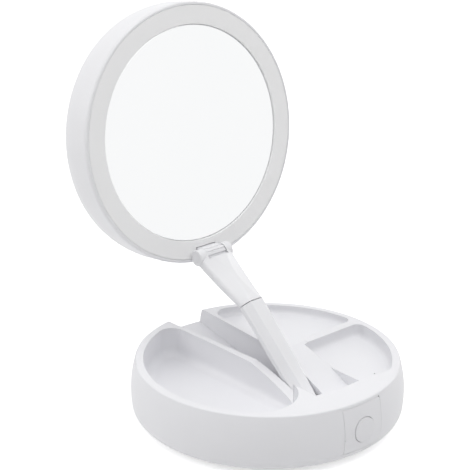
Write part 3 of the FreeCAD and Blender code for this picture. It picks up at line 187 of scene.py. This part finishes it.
def hollow(tree, centre):
    """The normal inside a ball about a centre. The mesh's own normals are uneven at the middle."""
    inward = tree.nodes.new("ShaderNodeVectorMath")
    inward.operation = "SUBTRACT"
    inward.inputs[0].default_value = centre
    tree.links.new(object_place(tree), inward.inputs[1])
    turned = tree.nodes.new("ShaderNodeVectorTransform")
    turned.vector_type = "NORMAL"
    turned.convert_from = "OBJECT"
    turned.convert_to = "WORLD"
    tree.links.new(inward.outputs[0], turned.inputs[0])
    return turned.outputs[0]


def bumped(tree, height, depth, edge):
    """A bump of the given depth, over softened edges."""
    made = tree.nodes.new("ShaderNodeBump")
    made.inputs["Strength"].default_value = BUMP_STRENGTH
    made.inputs["Distance"].default_value = depth
    tree.links.new(height, made.inputs["Height"])
    tree.links.new(softened(tree, edge), made.inputs["Normal"])
    return made.outputs["Normal"]


def shade(colour, factor):
    return tuple(min(1, channel * factor) for channel in colour)


# Materials
def moulded(name, colour, roughness, pit=GRAIN_SIZE, depth=GRAIN_DEPTH, edge=EDGE, mottle=MOTTLE_SHADE):
    """Moulded plastic: a faint mottle, uneven gloss and a fine grain."""
    made, tree, surface = new_material(name)
    place = object_place(tree)
    tone = spread(tree, noise(tree, place, MOTTLE_SIZE), 0, 1)
    gloss = spread(tree, noise(tree, place, GLOSS_SIZE), roughness - GLOSS_SWING, roughness + GLOSS_SWING)
    tree.links.new(colours(tree, tone, shade(colour, mottle), colour), surface.inputs["Base Color"])
    tree.links.new(gloss, surface.inputs["Roughness"])
    tree.links.new(bumped(tree, noise(tree, place, pit), depth, edge), surface.inputs["Normal"])
    return made


def milky(name, colour, roughness):
    """The diffuser over the lights: moulded plastic that lets light in under its skin."""
    made = moulded(name, colour, roughness)
    surface = made.node_tree.nodes["Principled BSDF"]
    surface.inputs["Subsurface Weight"].default_value = SKIN_WEIGHT
    surface.inputs["Subsurface Radius"].default_value = (SKIN_REACH, SKIN_REACH, SKIN_REACH)
    return made


def silvered(name, centre=None):
    """Mirror glass with a trace of haze, flat or hollow about a centre."""
    made, tree, surface = new_material(name)
    place = object_place(tree)
    haze = spread(tree, noise(tree, place, HAZE_SIZE), 0, HAZE_MOST)
    tint = colours(tree, noise(tree, place, TINT_SIZE), SILVER_DIM, SILVER)
    surface.inputs["Metallic"].default_value = 1
    tree.links.new(tint, surface.inputs["Base Color"])
    tree.links.new(haze, surface.inputs["Roughness"])
    normal = softened(tree, EDGE) if centre is None else hollow(tree, centre)
    tree.links.new(normal, surface.inputs["Normal"])
    return made


def rear_centre():
    """The middle of the ball that the rear mirror's face lies on, behind the head."""
    low, high = (Vector(corner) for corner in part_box("rear_mirror"))
    lean = math.radians(HEAD_LEAN)
    behind = Vector((0, math.cos(lean), -math.sin(lean)))
    return (low + high) / 2 + REAR_CURVE * behind


def metal(name, colour, roughness, brush=(1, 1, 1)):
    """Plated or brushed metal, with its lines along the axis that brush scales least."""
    made, tree, surface = new_material(name)
    lines = noise(tree, stretched(tree, object_place(tree), brush), LINE_SIZE)
    surface.inputs["Metallic"].default_value = 1
    tree.links.new(colours(tree, lines, shade(colour, LINE_SHADE), colour), surface.inputs["Base Color"])
    gloss = spread(tree, lines, roughness - BRUSH_SWING, roughness + BRUSH_SWING)
    tree.links.new(gloss, surface.inputs["Roughness"])
    tree.links.new(bumped(tree, lines, LINE_DEPTH, SMALL_EDGE), surface.inputs["Normal"])
    return made


def circuit_board(name):
    """Green solder mask over copper lines."""
    made, tree, surface = new_material(name)
    place = object_place(tree)
    lines = tree.nodes.new("ShaderNodeTexBrick")
    lines.inputs["Scale"].default_value = 1 / TRACK_PITCH
    lines.inputs["Mortar Size"].default_value = TRACK_WIDTH
    lines.inputs["Color1"].default_value = MASK_GREEN
    lines.inputs["Color2"].default_value = MASK_GREEN_PALE
    lines.inputs["Mortar"].default_value = TRACK_GREEN
    tree.links.new(place, lines.inputs["Vector"])
    tree.links.new(lines.outputs["Color"], surface.inputs["Base Color"])
    gloss = spread(tree, noise(tree, place, MASK_SIZE), MASK_SMOOTHEST, MASK_ROUGHEST)
    tree.links.new(gloss, surface.inputs["Roughness"])
    tree.links.new(bumped(tree, lines.outputs["Fac"], TRACK_DEPTH, BOARD_EDGE), surface.inputs["Normal"])
    return made


MATERIALS = {
    "casing": moulded("casing_plastic", CASING_WHITE, roughness=0.34),
    "head": moulded("head_plastic", HEAD_WHITE, roughness=0.32),
    "arm": moulded("arm_plastic", HEAD_WHITE, roughness=0.30),
    "button": moulded("button_plastic", shade(CASING_WHITE, BUTTON_SHADE), roughness=0.36, edge=BUTTON_EDGE),
    "inner": moulded("inner_plastic", INNER_WHITE, roughness=0.5, pit=0.0007, depth=0.00004),
    "ring": milky("diffuser_plastic", RING_WHITE, roughness=0.42),
    "mirror": silvered("mirror_glass"),
    "rear_mirror": silvered("rear_mirror_glass", rear_centre()),
    "steel": metal("plated_steel", STEEL, roughness=0.3, brush=(1, 6, 6)),
    "brass": metal("contact_brass", BRASS, roughness=0.34),
    "board": circuit_board("green_board"),
    "lamp": moulded("lamp_chip", CHIP_YELLOW, roughness=0.3, edge=SMALL_EDGE),
    "rubber": moulded("foot_rubber", RUBBER_GREY, roughness=0.75, pit=0.0008, depth=0.0001,
                      mottle=RUBBER_MOTTLE_SHADE),
    "jacket": moulded("cell_jacket", JACKET_GREY, roughness=0.28, mottle=DARK_MOTTLE_SHADE),
    "black": moulded("switch_black", BLACK, roughness=0.45, mottle=DARK_MOTTLE_SHADE),
    "nylon": moulded("washer_nylon", NYLON, roughness=0.5, edge=SMALL_EDGE),
}
NODE_LOOKS = {
    "casing": ("tray_casing", "switch_panel"),
    "head": ("head_housing", "rear_bezel"),
    "arm": ("lower_arm_shell", "upper_arm_shell", "hinge_bracket", "hinge_caps"),
    "button": ("power_button",),
    "inner": ("bottom_cover", "battery_door", "lower_arm_cover", "upper_arm_cover", "pivot_caps",
              "mirror_carrier", "rear_mirror_seat"),
    "ring": ("front_light_ring",),
    "mirror": ("front_mirror",),
    "rear_mirror": ("rear_mirror",),
    "steel": ("cover_screws", "door_pin", "board_screws", "pivot_pin", "cap_screws", "lower_arm_screws",
              "upper_arm_screws", "swivel_spindle", "swivel_spring", "swivel_clip", "hinge_pin",
              "led_board_screws", "bracket_screws"),
    "brass": ("front_contacts", "rear_contacts"),
    "board": ("control_board", "led_board"),
    "lamp": ("led_chips",),
    "rubber": ("rubber_feet",),
    "jacket": ("battery_cells",),
    "black": ("push_switch", "switch_plunger"),
    "nylon": ("pivot_washers", "swivel_bush", "hinge_washers"),
}
for look, names in NODE_LOOKS.items():
    for name in names:
        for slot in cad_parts[name].material_slots:
            slot.material = MATERIALS[look]


# Floor, light and camera
def rays(tree, *kinds):
    """1 for rays of any of the given kinds, and 0 for the rest."""
    path = tree.nodes.new("ShaderNodeLightPath")
    total = path.outputs[kinds[0]]
    for kind in kinds[1:]:
        add = tree.nodes.new("ShaderNodeMath")
        add.operation = "MAXIMUM"
        tree.links.new(total, add.inputs[0])
        tree.links.new(path.outputs[kind], add.inputs[1])
        total = add.outputs[0]
    return total


def floor():
    """Pale paper that keeps the shadow, and that mirrors and glass see as plain white."""
    bpy.ops.mesh.primitive_plane_add(size=FLOOR_SIZE)
    plane = bpy.context.object
    plane.name = "floor"
    made = bpy.data.materials.new("floor_paper")
    made.use_nodes = True
    tree = made.node_tree
    surface = tree.nodes["Principled BSDF"]
    surface.inputs["Base Color"].default_value = FLOOR_COLOUR
    surface.inputs["Roughness"].default_value = FLOOR_ROUGHNESS
    surface.inputs["Specular IOR Level"].default_value = FLOOR_SHINE
    surface.inputs["Emission Color"].default_value = WHITE
    lift = tree.nodes.new("ShaderNodeMath")
    lift.operation = "MULTIPLY"
    lift.inputs[1].default_value = FLOOR_LIFT
    tree.links.new(rays(tree, "Is Camera Ray"), lift.inputs[0])
    tree.links.new(lift.outputs[0], surface.inputs["Emission Strength"])
    plain = tree.nodes.new("ShaderNodeEmission")
    plain.inputs["Color"].default_value = WHITE
    mix = tree.nodes.new("ShaderNodeMixShader")
    tree.links.new(rays(tree, "Is Glossy Ray", "Is Transmission Ray"), mix.inputs[0])
    tree.links.new(surface.outputs[0], mix.inputs[1])
    tree.links.new(plain.outputs[0], mix.inputs[2])
    tree.links.new(mix.outputs[0], tree.nodes["Material Output"].inputs["Surface"])
    plane.data.materials.append(made)


def sky():
    """Soft light, strongest from above, that the camera, mirrors and glass see as plain white."""
    world = bpy.data.worlds.new("studio")
    world.use_nodes = True
    scene.world = world
    tree = world.node_tree
    background = tree.nodes["Background"]
    background.inputs["Color"].default_value = WHITE
    split = tree.nodes.new("ShaderNodeSeparateXYZ")
    tree.links.new(tree.nodes.new("ShaderNodeTexCoord").outputs["Generated"], split.inputs[0])
    height = tree.nodes.new("ShaderNodeMapRange")
    height.inputs["To Min"].default_value = SKY_AROUND
    height.inputs["To Max"].default_value = SKY_ABOVE
    tree.links.new(split.outputs["Z"], height.inputs["Value"])
    level = tree.nodes.new("ShaderNodeMapRange")
    level.inputs["To Max"].default_value = 1
    tree.links.new(height.outputs["Result"], level.inputs["To Min"])
    shown = rays(tree, "Is Camera Ray", "Is Glossy Ray", "Is Transmission Ray")
    tree.links.new(shown, level.inputs["Value"])
    tree.links.new(level.outputs["Result"], background.inputs["Strength"])


def softbox(name, place, aim, size, power):
    """A square lamp at a place, turned towards a point."""
    lamp = bpy.data.lights.new(name, "AREA")
    lamp.size = size
    lamp.energy = power
    item = bpy.data.objects.new(name, lamp)
    item.location = place
    item.rotation_euler = (Vector(aim) - Vector(place)).to_track_quat("-Z", "Y").to_euler()
    scene.collection.objects.link(item)


def camera():
    lens = bpy.data.cameras.new("photo_camera")
    lens.sensor_width = SENSOR
    lens.lens = SENSOR * FOCAL_PIXELS / IMAGE_PIXELS
    item = bpy.data.objects.new("photo_camera", lens)
    item.location = CAMERA_PLACE
    item.rotation_euler = (math.radians(90 - CAMERA_DROP), 0, math.radians(CAMERA_TURN))
    scene.collection.objects.link(item)
    scene.camera = item


floor()
sky()
for name, settings in LAMPS.items():
    softbox(name, *settings)
camera()
